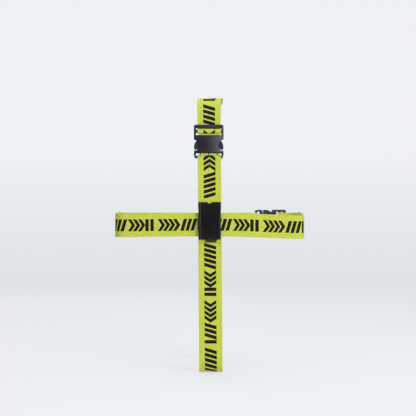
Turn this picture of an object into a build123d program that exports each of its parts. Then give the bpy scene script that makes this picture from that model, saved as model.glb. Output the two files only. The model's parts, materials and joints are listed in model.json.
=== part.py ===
"""A cross luggage strap as it sits round a suitcase.

Two belts of 50 mm webbing cross on the front of the case. The upright belt closes with a side-release
buckle near its top, and its two lengths of webbing end in sewn loops that a flat cross housing grips.
The level belt runs through guides behind that housing and closes with a second buckle on the back.
The housing carries a card tray that slides out downwards.

Millimetres. +X is right, +Y is from the front of the case to its back, and +Z is up. The origin is the
middle of the upright belt's bottom run, on the face that the case's underside rests on.

The buckles and the housing are modelled lying flat: X across the belt, Y along it and Z away from the
case. A seat is the plane that carries them on to the case.
"""

from build123d import *
import os

os.makedirs("parts", exist_ok=True)

# The webbing, and the case that it is pulled tight round.
WEB_WIDTH = 50.0
WEB_THICK = 1.2
LAYER_GAP = 0.1
CASE_WIDTH = 404.0
CASE_DEPTH = 250.0
CASE_HEIGHT = 585.0
CASE_EDGE_R = 20.0

# Where the webbing leaves the case's faces: its bends there, the run over which it drops from the
# housing, the hump where one belt lies over the other, and the spare end under the belt past an edge.
BEND_R = 40.0
STEP_R = 30.0
HOUSING_RAMP = 36.0
HUMP_HALF_L = 32.0
HUMP_RAMP = 14.0
TOP_TAIL = 45.0
SIDE_TAIL = 65.0
TAIL_CLEAR = 4.0
TAIL_STEP = 12.0
GUIDE_CLEAR = 4.0
GUIDE_RAMP = 18.0

# The webbing's tight bends: over an adjuster's middle bar, from the load side to the tail; in the sewn
# loops round the housing's rods; in the fold behind the upright plug; and in the level plug's strip.
ADJUSTER_BENDS = (1.3, 2.0, 2.0, 2.2)
FLAP = 8.0
FLAP_BEND_R = 15.0
LOOP_MOUTH = 4.5
LOOP_MOUTH_R = 6.0
LOOP_WIDEST = 1.0
LOOP_SIDE_R = 3.0
TAUT_BEND_R = 200.0
TAUT_BEND_DROP = 1.5
FOLD_BEND_R = 8.0
FOLD_BEND_DROP = 9.0
FOLD_LENGTH = 28.0
FOLD_SLACK = (0.1, 0.3)
STRIP_BEND_R = 20.0
STRIP_BACK_DROP = (2.0, 9.0)
STRIP_FRONT_DROP = 18.0
STRIP_SHOULDER_R = 12.0
TURN_EASE = 0.03

# Where things are on the case. The upright belt's buckle sits to one side of its webbing.
HOUSING_Z = 323.7
LEVEL_BELT_Z = 315.3
UPRIGHT_MOUTH_Z = 468.9
UPRIGHT_BUCKLE_X = -2.0
LEVEL_MOUTH_X = 118.0
LEVEL_SEAM = (32.0, 52.0)

# Socket half of the buckle. Lengths along the belt are from its mouth, towards the adjuster.
SOCKET_HALF_W = 31.5
SOCKET_LENGTH = 37.6
SOCKET_BACK = 0.6
SOCKET_SIDE_TOP = 10.6
SOCKET_CROWN = 13.2
SOCKET_BACK_R = 2.0
SOCKET_SIDE_R = 3.0
SOCKET_END_R = 1.2
CAVITY_HALF_W = 28.5
CAVITY_LENGTH = 34.2
CAVITY_BACK = 2.4
CAVITY_FRONT = 9.6
GUIDE_X = 3.8
GUIDE_THICK = 1.2
GUIDE_START = 14.0
GRIP_R = 12.2
GRIP_DEEPEST = 20.8
GRIP_Y = 15.6
FRAME_HALF_W = 31.7
FRAME_BACK = 1.0
FRAME_FRONT = 9.0
FRAME_CORNER_R = 4.0
FRAME_EDGE_R = 2.2
FRAME_LAP = 5.0
SLOT_HALF_W = 27.2
MIDDLE_BAR = (42.0, 49.4)
BAR_BACK = 3.6
BAR_THICK = 3.2
END_BAR = (52.0, 59.9)
END_BAR_BACK = 3.4
END_BAR_R = 1.2
BAR_ROOT = 2.0

# Plug half of the buckle, from the same mouth.
PLUG_BACK = 2.7
PLUG_FRONT = 9.3
PLUG_BLOCK_END = 4.2
PLUG_FLANGE = (-1.3, -0.2)
PLUG_SHOULDER = 1.5
PLUG_HALF_W = 31.8
PLUG_EAR_END = -13.2
PLUG_EAR_END_HALF_W = 29.6
PLUG_EAR_R = 4.0
PLUG_FRONT_EDGE_R = 1.6
PLUG_BACK_EDGE_R = 0.8
PLUG_EAR_BACK = 1.6
PLUG_EAR_FRONT = 10.0
PLUG_BAR = (-11.6, -6.6)
PLUG_BAR_ROOT = 0.6
BLOCK_PLAY = 0.3
PLUG_RIB_X = 18.0
PLUG_RIB = (2.4, 2.9)
TONGUE_HALF_W = 2.4
TONGUE_END = 31.0
TONGUE_Z = (4.0, 8.0)
TONGUE_ROOT = 1.0
TONGUE_TIP_CHAMFER = 1.4
PIVOT_X = 16.5
PIVOT_Y = 1.6
KNUCKLE_R = 2.6
KNUCKLE_Z = (3.7, 8.3)
SEAT_MOUTH_W = 3.3
SEAT_MOUTH_OFFSET = 0.3
RUNNING_GAP = 0.08

# Plan of a prong, out from the buckle's middle: its catch, root, arm and tip, and the flank that a
# finger presses, which passes through one more point on its way back to the catch.
PRONG_PLAN = (
    (30.3, 6.0),
    (29.4, 5.0),
    (26.5, 7.2),
    (18.5, 8.4),
    (17.7, 5.0),
    (15.3, 5.0),
    (15.3, 26.0),
    (17.0, 31.2),
    (20.0, 31.2),
    (26.2, 25.2),
    (28.0, 23.0),
)
PRONG_FLANK = (31.3, 14.0)
PRONG_ROOT_W = 2.4
PRONG_ROOT_END = 5.2
PRONG_FRONT = 8.3
BUTTON_FRONT = 9.3
BUTTON_GAP = 1.0
BUTTON_EDGE_R = 0.5

# Cross housing. Heights are from the case's face.
HOUSING_W = 48.0
HOUSING_L = 80.0
BASE_W = 47.0
BASE_L = 76.0
BASE_CORNER_R = 3.0
BASE_RIB = (43.0, 2.5)
BASE_RIB_FROM_END = 1.75
BRIDGE = (0.3, 1.5)
BRIDGE_W = 4.0
BRIDGE_FOOT = 3.0
BELT_PLAY = 1.0
PLATE = (2.9, 4.4)
ROOF = (9.7, 10.7)
ROOF_CORNER_R = 2.0
LOOP_SLOT = (5.6, 8.4)
LIP = (44.0, 5.0)
ROD_R = 1.2
ROD_END_R = 0.3
ROD_LENGTH = 46.0
ROD_FROM_END = 12.0
ROD_HEIGHT = 7.0
CORE_W = 43.2
CORE_L = 44.0
CORE_WALL = 1.6
SKIRT = (1.8, 46.0)
SKIRT_GAP = 0.2
RAIL_FRONT = 13.6
RAIL_W = 5.6
RAIL_CORNER_R = 2.0
RAIL_EDGE_R = 1.0
RIM_L = 2.7
NOTCH_R = 6.2
NOTCH_DEPTH = 3.0
TRAY = (10.9, 12.4)
TRAY_HALF_W = 21.2
TRAY_TOP_GAP = 3.2
TRAY_PLAY = 0.15
TRAY_WALL_GAP = (0.2, 0.1)
TRAY_WALL_CORNER_R = 1.5
TRAY_EDGE_R = 0.6
TAB_X = 3.0
TAB_WIDTHS = (27.0, 21.0)
TAB_LENGTH = 5.8
TAB_ROOT = 0.5
TAB_CORNER_R = 1.6
TAB_RIDGE = (18.0, 1.2, 0.5)
CARD = (37.4, 63.6, 0.3)
CARD_CORNER_R = 2.0
CARD_PLAY = 0.2
POCKET_SPARE = 0.15
CARD_LIFT = 0.05
SCREW_AT = 17.0
SCREW_R = 1.0
SCREW_HEAD_R = 1.85
SCREW_LENGTH = 6.0
SCREW_HOLE_PLAY = 0.15
SCREW_HEAD_PLAY = 0.25
SCREW_HEAD_SINK = 0.1
SCREW_THREAD_PLAY = 0.02
BOSS_R = 2.6
TACK_THICK = 0.35
TACK_W = 44.0
TACK_L = 1.8
TACK_ON_FLAP = 4.8
TACK_BELOW_PLUG_BAR = 16.0
SEAM_INSET = 4.0

# How far a cut carries on past the face that it opens.
CUT_PAST = 1.0

# Worked out from those.
HALF_THICK = WEB_THICK / 2
PITCH = WEB_THICK + LAYER_GAP
LAYER_1 = HALF_THICK
LAYER_2 = LAYER_1 + PITCH
LAYER_3 = LAYER_2 + PITCH
FRONT_Y = -CASE_DEPTH / 2
BACK_Y = CASE_DEPTH / 2
SIDE_X = CASE_WIDTH / 2
WRAP = LAYER_GAP + HALF_THICK
ROD_LOOP_R = ROD_R + WRAP
LOOP_NEAR = ROD_HEIGHT + PITCH / 2
LOOP_FAR = ROD_HEIGHT - PITCH / 2
OVER_BAR = BAR_BACK + BAR_THICK + WRAP
UNDER_BAR = BAR_BACK - WRAP
BAR_TURN_R = (OVER_BAR - UNDER_BAR) / 2 - TURN_EASE
HOUSING_TOP_Z = HOUSING_Z + HOUSING_L / 2
HOUSING_BOTTOM_Z = HOUSING_Z - HOUSING_L / 2
TRAY_LOW = -HOUSING_L / 2
TRAY_HIGH = HOUSING_L / 2 - TRAY_TOP_GAP

UPRIGHT_SEAT = Plane(
    origin=(UPRIGHT_BUCKLE_X, FRONT_Y, UPRIGHT_MOUTH_Z), x_dir=(1, 0, 0), z_dir=(0, -1, 0)
)
BELT_SEAT = Plane(origin=(0, FRONT_Y, UPRIGHT_MOUTH_Z), x_dir=(1, 0, 0), z_dir=(0, -1, 0))
LEVEL_SEAT = Plane(origin=(LEVEL_MOUTH_X, BACK_Y, LEVEL_BELT_Z), x_dir=(0, 0, 1), z_dir=(0, 1, 0))
HOUSING_SEAT = Plane(origin=(0, FRONT_Y, HOUSING_Z), x_dir=(1, 0, 0), z_dir=(0, -1, 0))


def hand_in(piece, name, seat=Plane.XY):
    """Carries a finished piece to its seat, labels it and writes it as one STEP file."""
    placed = piece.part.moved(seat.location)
    placed.label = name
    export_step(placed, f"parts/{name}.step")


# ---------------------------------------------------------------- webbing


def ribbon(plane, corners, across):
    """A length of webbing whose middle line turns corners, each a point in the plane and a radius."""
    points = [point for point, _ in corners]
    radii = [radius for _, radius in corners[1:-1]]
    with BuildPart() as webbing:
        with BuildLine(plane) as run:
            FilletPolyline(*points, radius=radii)
        with BuildSketch(Plane(origin=run.line @ 0, x_dir=across, z_dir=run.line % 0)):
            Rectangle(WEB_WIDTH, WEB_THICK)
        sweep()
    return webbing


def adjuster_turns(place):
    """The turns round an adjuster's middle bar, from the load side to the tail, out of (along, height)."""
    outer = (END_BAR[0] + MIDDLE_BAR[1]) / 2
    inner = MIDDLE_BAR[0] - WRAP
    turns = ((outer, LAYER_2), (outer, OVER_BAR), (inner, OVER_BAR), (inner, LAYER_1))
    return [(place(*turn), radius) for turn, radius in zip(turns, ADJUSTER_BENDS)]


def rod_loop(end_z, inward):
    """The loop round a housing rod, from the flap's cut end to where the webbing leaves the flap."""
    flap_end = end_z - FLAP * inward
    mouth = end_z + LOOP_MOUTH * inward
    rod_z = end_z + ROD_FROM_END * inward
    wide = rod_z - LOOP_WIDEST * inward
    turn = rod_z + ROD_LOOP_R * inward
    out, back = ROD_HEIGHT + ROD_LOOP_R, ROD_HEIGHT - ROD_LOOP_R
    turn_r = ROD_LOOP_R - TURN_EASE
    path = [
        (flap_end, LOOP_NEAR, 0),
        (mouth, LOOP_NEAR, LOOP_MOUTH_R),
        (wide, out, LOOP_SIDE_R),
        (turn, out, turn_r),
        (turn, back, turn_r),
        (wide, back, LOOP_SIDE_R),
        (mouth, LOOP_FAR, LOOP_MOUTH_R),
        (flap_end, LOOP_FAR, FLAP_BEND_R),
    ]
    return [((FRONT_Y - height, z), radius) for z, height, radius in path]


def upright_webbing():
    """The long length: from the housing down, under, up the back, over the top and into the adjuster."""
    ramp_end = HOUSING_BOTTOM_Z - HOUSING_RAMP
    hump_low, hump_high = LEVEL_BELT_Z - HUMP_HALF_L, LEVEL_BELT_Z + HUMP_HALF_L
    tail_y = FRONT_Y + CASE_EDGE_R + TOP_TAIL
    load_y = tail_y + TAIL_CLEAR
    top_1, top_2 = CASE_HEIGHT + LAYER_1, CASE_HEIGHT + LAYER_2
    corners = rod_loop(HOUSING_BOTTOM_Z, 1)
    corners += [
        ((FRONT_Y - LAYER_1, ramp_end), BEND_R),
        ((FRONT_Y - LAYER_1, -LAYER_1), CASE_EDGE_R + LAYER_1),
        ((BACK_Y + LAYER_1, -LAYER_1), CASE_EDGE_R + LAYER_1),
        ((BACK_Y + LAYER_1, hump_low - HUMP_RAMP), BEND_R),
        ((BACK_Y + LAYER_2, hump_low), BEND_R),
        ((BACK_Y + LAYER_2, hump_high), BEND_R),
        ((BACK_Y + LAYER_1, hump_high + HUMP_RAMP), BEND_R),
        ((BACK_Y + LAYER_1, top_1), CASE_EDGE_R + LAYER_1),
        ((load_y + TAIL_STEP, top_1), STEP_R),
        ((load_y, top_2), STEP_R),
        ((FRONT_Y - LAYER_2, top_2), CASE_EDGE_R + LAYER_2),
    ]
    corners += adjuster_turns(lambda along, height: (FRONT_Y - height, UPRIGHT_MOUTH_Z + along))
    corners += [((FRONT_Y - LAYER_1, top_1), CASE_EDGE_R + LAYER_1), ((tail_y, top_1), 0)]
    return ribbon(Plane.YZ, corners, (1, 0, 0))


def upright_short_webbing():
    """The short length between the housing and the plug's bar, sewn into a loop at each end."""
    bar_top = UPRIGHT_MOUTH_Z + PLUG_BAR[1] + WRAP
    bar_low = UPRIGHT_MOUTH_Z + PLUG_BAR[0]
    fold = OVER_BAR - PITCH
    corners = rod_loop(HOUSING_TOP_Z, -1)
    corners += [
        ((FRONT_Y - OVER_BAR, bar_low - TAUT_BEND_DROP), TAUT_BEND_R),
        ((FRONT_Y - OVER_BAR, bar_top), BAR_TURN_R),
        ((FRONT_Y - UNDER_BAR, bar_top), BAR_TURN_R),
        ((FRONT_Y - UNDER_BAR, bar_low), FOLD_BEND_R),
        ((FRONT_Y - fold + FOLD_SLACK[0], bar_low - FOLD_BEND_DROP), FOLD_BEND_R),
        ((FRONT_Y - fold + FOLD_SLACK[1], bar_low - FOLD_LENGTH), 0),
    ]
    return ribbon(Plane.YZ, corners, (1, 0, 0))


def level_webbing():
    """The level length: from its seam round the left side, the front and the right to the adjuster."""
    guide = (BRIDGE[1] + PLATE[0]) / 2
    guide_x = HOUSING_W / 2 + GUIDE_CLEAR
    tail_y = BACK_Y - CASE_EDGE_R - SIDE_TAIL
    load_y = tail_y - TAIL_CLEAR
    side_1, side_2 = SIDE_X + LAYER_1, SIDE_X + LAYER_2
    corners = [
        ((LEVEL_SEAM[1], BACK_Y + LAYER_1), 0),
        ((-side_1, BACK_Y + LAYER_1), CASE_EDGE_R + LAYER_1),
        ((-side_1, FRONT_Y - LAYER_1), CASE_EDGE_R + LAYER_1),
        ((-guide_x - GUIDE_RAMP, FRONT_Y - LAYER_1), BEND_R),
        ((-guide_x, FRONT_Y - guide), BEND_R),
        ((guide_x, FRONT_Y - guide), BEND_R),
        ((guide_x + GUIDE_RAMP, FRONT_Y - LAYER_1), BEND_R),
        ((side_1, FRONT_Y - LAYER_1), CASE_EDGE_R + LAYER_1),
        ((side_1, load_y - TAIL_STEP), STEP_R),
        ((side_2, load_y), STEP_R),
        ((side_2, BACK_Y + LAYER_2), CASE_EDGE_R + LAYER_2),
    ]
    corners += adjuster_turns(lambda along, height: (LEVEL_MOUTH_X + along, BACK_Y + height))
    corners += [((side_1, BACK_Y + LAYER_1), CASE_EDGE_R + LAYER_1), ((side_1, tail_y), 0)]
    return ribbon(Plane.XY.offset(LEVEL_BELT_Z), corners, (0, 0, 1))


def level_short_webbing():
    """The doubled strip that ties the level plug's bar to the sewn end of the level length."""
    bar_low = LEVEL_MOUTH_X + PLUG_BAR[0]
    turn = LEVEL_MOUTH_X + PLUG_BAR[1] + WRAP
    path = [
        (LEVEL_SEAM[0], LAYER_2, 0),
        (bar_low - STRIP_BACK_DROP[1], LAYER_2, STRIP_BEND_R),
        (bar_low - STRIP_BACK_DROP[0], UNDER_BAR, STRIP_BEND_R),
        (turn, UNDER_BAR, BAR_TURN_R),
        (turn, OVER_BAR, BAR_TURN_R),
        (bar_low, OVER_BAR, STRIP_SHOULDER_R),
        (bar_low - STRIP_FRONT_DROP, LAYER_3, STRIP_BEND_R),
        (LEVEL_SEAM[0], LAYER_3, 0),
    ]
    corners = [((x, BACK_Y + height), radius) for x, height, radius in path]
    return ribbon(Plane.XY.offset(LEVEL_BELT_Z), corners, (0, 0, 1))


def bar_tacks(*places):
    """Bars of dense zigzag thread across a belt, each at a place along it and on a face's height."""
    with BuildPart() as tacks:
        for along, height in places:
            with BuildSketch(Plane.XY.offset(height)):
                with Locations((0, along)):
                    SlotOverall(TACK_W, TACK_L)
            extrude(amount=TACK_THICK)
    return tacks


# ---------------------------------------------------------------- side-release buckle


def cross_bar(along, half_w):
    """A round-edged bar across the belt, over a span along it."""
    with BuildPart() as bar:
        with BuildSketch(Plane.YZ.offset(-half_w)):
            with Locations((sum(along) / 2, BAR_BACK + BAR_THICK / 2)):
                SlotOverall(along[1] - along[0], BAR_THICK)
        extrude(amount=2 * half_w)
    return bar


def adjuster_frame():
    """The flat frame behind the socket: side arms and an end bar round the webbing's slot."""
    start = SOCKET_LENGTH - FRAME_LAP
    length = END_BAR[1] - start
    with BuildPart() as frame:
        with BuildSketch(Plane.XY.offset(FRAME_BACK)) as plan:
            with Locations((0, start + length / 2)):
                Rectangle(2 * FRAME_HALF_W, length)
            fillet(plan.vertices().group_by(Axis.Y)[-1], FRAME_CORNER_R)
        extrude(amount=FRAME_FRONT - FRAME_BACK)
        fillet(frame.edges().group_by(Axis.Z)[-1], FRAME_EDGE_R)
        with BuildSketch(Plane.XY):
            with Locations((0, (SOCKET_LENGTH + END_BAR[0]) / 2)):
                Rectangle(2 * SLOT_HALF_W, END_BAR[0] - SOCKET_LENGTH)
        extrude(amount=FRAME_FRONT, mode=Mode.SUBTRACT)
        with BuildSketch(Plane.XY):
            with Locations((0, END_BAR[1])):
                Rectangle(2 * SLOT_HALF_W, 2 * (END_BAR[1] - END_BAR[0]))
        extrude(amount=END_BAR_BACK, mode=Mode.SUBTRACT)
        inside = frame.edges().filter_by(Axis.X).filter_by_position(Axis.Y, END_BAR[0], END_BAR[0])
        fillet(inside, END_BAR_R)
        add(cross_bar(MIDDLE_BAR, SLOT_HALF_W + BAR_ROOT).part)
    return frame


def buckle_socket():
    """The hollow half: a crowned shell with a grip cut out of each side, and the adjuster behind it."""
    side, low = SOCKET_HALF_W, SOCKET_BACK
    with BuildPart() as shell:
        with BuildSketch(Plane.XZ) as section:
            with BuildLine():
                Polyline((-side, SOCKET_SIDE_TOP), (-side, low), (side, low), (side, SOCKET_SIDE_TOP))
                ThreePointArc((side, SOCKET_SIDE_TOP), (0, SOCKET_CROWN), (-side, SOCKET_SIDE_TOP))
            make_face()
            fillet(section.vertices().group_by(Axis.Y)[0], SOCKET_BACK_R)
            fillet(section.vertices().group_by(Axis.Y)[-1], SOCKET_SIDE_R)
        extrude(amount=-SOCKET_LENGTH)
        ends = shell.edges().filter_by_position(Axis.Z, SOCKET_SIDE_TOP - SOCKET_SIDE_R, SOCKET_CROWN)
        fillet(ends.group_by(Axis.Y)[0] + ends.group_by(Axis.Y)[-1], SOCKET_END_R)
        with BuildSketch(Plane.XY):
            with Locations((GRIP_DEEPEST + GRIP_R, GRIP_Y), (-GRIP_DEEPEST - GRIP_R, GRIP_Y)):
                Circle(GRIP_R)
        extrude(amount=SOCKET_CROWN + CUT_PAST, mode=Mode.SUBTRACT)
        add(adjuster_frame().part)
        with BuildSketch(Plane.XY.offset(CAVITY_BACK)):
            with Locations((0, CAVITY_LENGTH / 2)):
                Rectangle(2 * CAVITY_HALF_W, CAVITY_LENGTH)
        extrude(amount=CAVITY_FRONT - CAVITY_BACK, mode=Mode.SUBTRACT)
        # A guide wall each side of the plug's tongue.
        with BuildSketch(Plane.XY.offset(CAVITY_BACK)):
            with Locations((0, (GUIDE_START + CAVITY_LENGTH) / 2)):
                with GridLocations(2 * GUIDE_X, 1, 2, 1):
                    Rectangle(GUIDE_THICK, CAVITY_LENGTH - GUIDE_START)
        extrude(amount=CAVITY_FRONT - CAVITY_BACK)
    return shell


def plug_frame():
    """The plug's flange, ears, webbing bar and tongue, with a round seat for each prong's root."""
    wide, narrow = PLUG_HALF_W, PLUG_EAR_END_HALF_W
    top, shoulder, end = PLUG_FLANGE[1], PLUG_FLANGE[0] - PLUG_SHOULDER, PLUG_EAR_END
    block_half_w = CAVITY_HALF_W - BLOCK_PLAY
    with BuildPart() as frame:
        with BuildSketch(Plane.XY.offset(PLUG_EAR_BACK)) as ears:
            with BuildLine():
                Polyline((-wide, top), (-wide, shoulder), (-narrow, end), (narrow, end), (wide, shoulder))
                Polyline((wide, shoulder), (wide, top), (-wide, top))
            make_face()
            fillet(ears.vertices().group_by(Axis.Y)[0], PLUG_EAR_R)
        extrude(amount=PLUG_EAR_FRONT - PLUG_EAR_BACK)
        fillet(frame.edges().group_by(Axis.Z)[-1], PLUG_FRONT_EDGE_R)
        fillet(frame.edges().group_by(Axis.Z)[0], PLUG_BACK_EDGE_R)
        with BuildSketch(Plane.XY):
            with Locations((0, PLUG_EAR_END)):
                Rectangle(2 * SLOT_HALF_W, 2 * (PLUG_FLANGE[0] - PLUG_EAR_END))
        extrude(amount=PLUG_EAR_FRONT, mode=Mode.SUBTRACT)
        add(cross_bar(PLUG_BAR, SLOT_HALF_W + PLUG_BAR_ROOT).part)
        # Short ribs stiffen the flange on the webbing's side.
        with BuildSketch(Plane.XY.offset(PLUG_BACK)):
            with Locations((0, PLUG_FLANGE[0] - PLUG_RIB[1] / 2)):
                with GridLocations(PLUG_RIB_X, 1, 3, 1):
                    Rectangle(*PLUG_RIB)
        extrude(amount=PLUG_FRONT - PLUG_BACK)
        # The block that fills the socket's mouth.
        with BuildSketch(Plane.XY.offset(PLUG_BACK)):
            with Locations((0, (PLUG_BLOCK_END + PLUG_FLANGE[0]) / 2)):
                Rectangle(2 * block_half_w, PLUG_BLOCK_END - PLUG_FLANGE[0])
        extrude(amount=PLUG_FRONT - PLUG_BACK)
        # A round seat for each prong's root, open towards the socket.
        with BuildSketch(Plane.XY.offset(KNUCKLE_Z[0] - RUNNING_GAP)):
            for side in (-1, 1):
                with Locations((side * PIVOT_X, PIVOT_Y)):
                    Circle(KNUCKLE_R + RUNNING_GAP)
                with Locations((side * (PIVOT_X - SEAT_MOUTH_OFFSET), PLUG_BLOCK_END)):
                    Rectangle(SEAT_MOUTH_W, 2 * (PLUG_BLOCK_END - PIVOT_Y))
        extrude(amount=KNUCKLE_Z[1] - KNUCKLE_Z[0] + 2 * RUNNING_GAP, mode=Mode.SUBTRACT)
        tongue_start = PLUG_BLOCK_END - TONGUE_ROOT
        with BuildSketch(Plane.XY.offset(TONGUE_Z[0])) as tongue:
            with Locations((0, (TONGUE_END + tongue_start) / 2)):
                Rectangle(2 * TONGUE_HALF_W, TONGUE_END - tongue_start)
            chamfer(tongue.vertices().group_by(Axis.Y)[-1], TONGUE_TIP_CHAMFER)
        extrude(amount=TONGUE_Z[1] - TONGUE_Z[0])
    return frame


def prong_outline(side):
    """The plan of one prong, on the side given by its sign."""
    points = [(side * x, y) for x, y in PRONG_PLAN]
    with BuildSketch() as outline:
        with BuildLine():
            Polyline(*points)
            ThreePointArc(points[-1], (side * PRONG_FLANK[0], PRONG_FLANK[1]), points[0])
        make_face()
    return outline


def prong(side):
    """One sprung arm of the plug: its root, its arm, and the raised button in the socket's grip."""
    root_length = PRONG_ROOT_END - PIVOT_Y
    with BuildPart() as arm:
        with BuildSketch(Plane.XY.offset(KNUCKLE_Z[0])):
            with Locations((side * PIVOT_X, PIVOT_Y)):
                Circle(KNUCKLE_R)
            with Locations((side * PIVOT_X, PIVOT_Y + root_length / 2)):
                Rectangle(PRONG_ROOT_W, root_length)
        extrude(amount=KNUCKLE_Z[1] - KNUCKLE_Z[0])
        with BuildSketch(Plane.XY.offset(PLUG_BACK + RUNNING_GAP)):
            add(prong_outline(side).sketch)
        extrude(amount=PRONG_FRONT - PLUG_BACK - RUNNING_GAP)
        with BuildSketch(Plane.XY.offset(KNUCKLE_Z[0])):
            add(prong_outline(side).sketch)
            with Locations((side * (GRIP_DEEPEST + GRIP_R), GRIP_Y)):
                Circle(GRIP_R - BUTTON_GAP, mode=Mode.INTERSECT)
        extrude(amount=BUTTON_FRONT - KNUCKLE_Z[0])
        fillet(arm.edges().group_by(Axis.Z)[-1], BUTTON_EDGE_R)
    return arm


# ---------------------------------------------------------------- cross housing


def cross_base():
    """The back half: a plate, a bridge each side that guides the level belt, and a core for screws."""
    belt_y = LEVEL_BELT_Z - HOUSING_Z
    opening = WEB_WIDTH + 2 * BELT_PLAY
    bridge_x = (BASE_W - BRIDGE_W) / 2
    with BuildPart() as base:
        with BuildSketch(Plane.XY.offset(PLATE[0])):
            RectangleRounded(BASE_W, BASE_L, BASE_CORNER_R)
        extrude(amount=PLATE[1] - PLATE[0])
        # A rib across each end holds the webbing against the cover's lip.
        with BuildSketch(Plane.XY.offset(PLATE[1])):
            with GridLocations(1, BASE_L - 2 * BASE_RIB_FROM_END, 1, 2):
                Rectangle(*BASE_RIB)
        extrude(amount=LOOP_SLOT[0] - PLATE[1])
        with BuildSketch(Plane.XY.offset(PLATE[1])):
            Rectangle(CORE_W, CORE_L)
            Rectangle(CORE_W - 2 * CORE_WALL, CORE_L - 2 * CORE_WALL, mode=Mode.SUBTRACT)
        extrude(amount=ROOF[0] - PLATE[1])
        with BuildSketch(Plane.XY.offset(BRIDGE[0])):
            with Locations((bridge_x, belt_y), (-bridge_x, belt_y)):
                Rectangle(BRIDGE_W, opening + 2 * BRIDGE_FOOT)
        extrude(amount=BRIDGE[1] - BRIDGE[0])
        with BuildSketch(Plane.XY.offset(BRIDGE[0])):
            with Locations((0, belt_y)):
                with GridLocations(2 * bridge_x, opening + BRIDGE_FOOT, 2, 2):
                    Rectangle(BRIDGE_W, BRIDGE_FOOT)
        extrude(amount=PLATE[0] - BRIDGE[0])
        hole_r, head_r = SCREW_R + SCREW_HOLE_PLAY, SCREW_HEAD_R + SCREW_HEAD_PLAY
        with Locations(Plane(origin=(0, 0, PLATE[0]), x_dir=(1, 0, 0), z_dir=(0, 0, -1))):
            with GridLocations(2 * SCREW_AT, 2 * SCREW_AT, 2, 2):
                CounterSinkHole(hole_r, head_r, depth=PLATE[1] - PLATE[0])
    return base


def cross_cover():
    """The front half: a roof over the loops, side skirts, screw bosses and rails for the tray."""
    rail_x = (HOUSING_W - RAIL_W) / 2
    rail_low, rail_high = -HOUSING_L / 2 + RIM_L, HOUSING_L / 2
    rail_y, rail_l = (rail_low + rail_high) / 2, rail_high - rail_low
    with BuildPart() as cover:
        with BuildSketch(Plane.XY.offset(ROOF[0])) as roof:
            Rectangle(HOUSING_W, HOUSING_L)
            fillet(roof.vertices(), ROOF_CORNER_R)
        extrude(amount=ROOF[1] - ROOF[0])
        with BuildSketch(Plane.XY.offset(ROOF[1])) as rails:
            with Locations((rail_x, rail_y), (-rail_x, rail_y)):
                Rectangle(RAIL_W, rail_l)
            with Locations((0, rail_high - RIM_L / 2)):
                Rectangle(HOUSING_W - 2 * RAIL_W, RIM_L)
            fillet(rails.vertices().group_by(Axis.Y)[-1], RAIL_CORNER_R)
        extrude(amount=RAIL_FRONT - ROOF[1])
        fillet(cover.edges().group_by(Axis.Z)[-1], RAIL_EDGE_R)
        with BuildSketch(Plane.XY.offset(LOOP_SLOT[1])):
            with GridLocations(1, HOUSING_L - LIP[1], 1, 2):
                Rectangle(*LIP)
        extrude(amount=ROOF[0] - LOOP_SLOT[1])
        skirt_back = PLATE[1] + SKIRT_GAP
        with BuildSketch(Plane.XY.offset(skirt_back)):
            with GridLocations(HOUSING_W - SKIRT[0], 1, 2, 1):
                Rectangle(*SKIRT)
        extrude(amount=ROOF[0] - skirt_back)
        with BuildSketch(Plane.XY.offset(PLATE[1])):
            with GridLocations(2 * SCREW_AT, 2 * SCREW_AT, 2, 2):
                Circle(BOSS_R)
                Circle(SCREW_R, mode=Mode.SUBTRACT)
        extrude(amount=ROOF[0] - PLATE[1])
        # The groove that the tray slides in, closed by the top rim.
        groove_low, groove_high = -HOUSING_L / 2 - CUT_PAST, HOUSING_L / 2 - RIM_L
        with BuildSketch(Plane.XY.offset(ROOF[1])):
            with Locations((0, (groove_low + groove_high) / 2)):
                Rectangle(2 * (TRAY_HALF_W + TRAY_PLAY), groove_high - groove_low)
        extrude(amount=TRAY[1] + TRAY_PLAY - ROOF[1], mode=Mode.SUBTRACT)
        with BuildSketch(Plane.XY.offset(PLATE[1])):
            with Locations((0, HOUSING_L / 2 - NOTCH_DEPTH + NOTCH_R)):
                Circle(NOTCH_R)
        extrude(amount=RAIL_FRONT, mode=Mode.SUBTRACT)
    return cover


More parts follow.
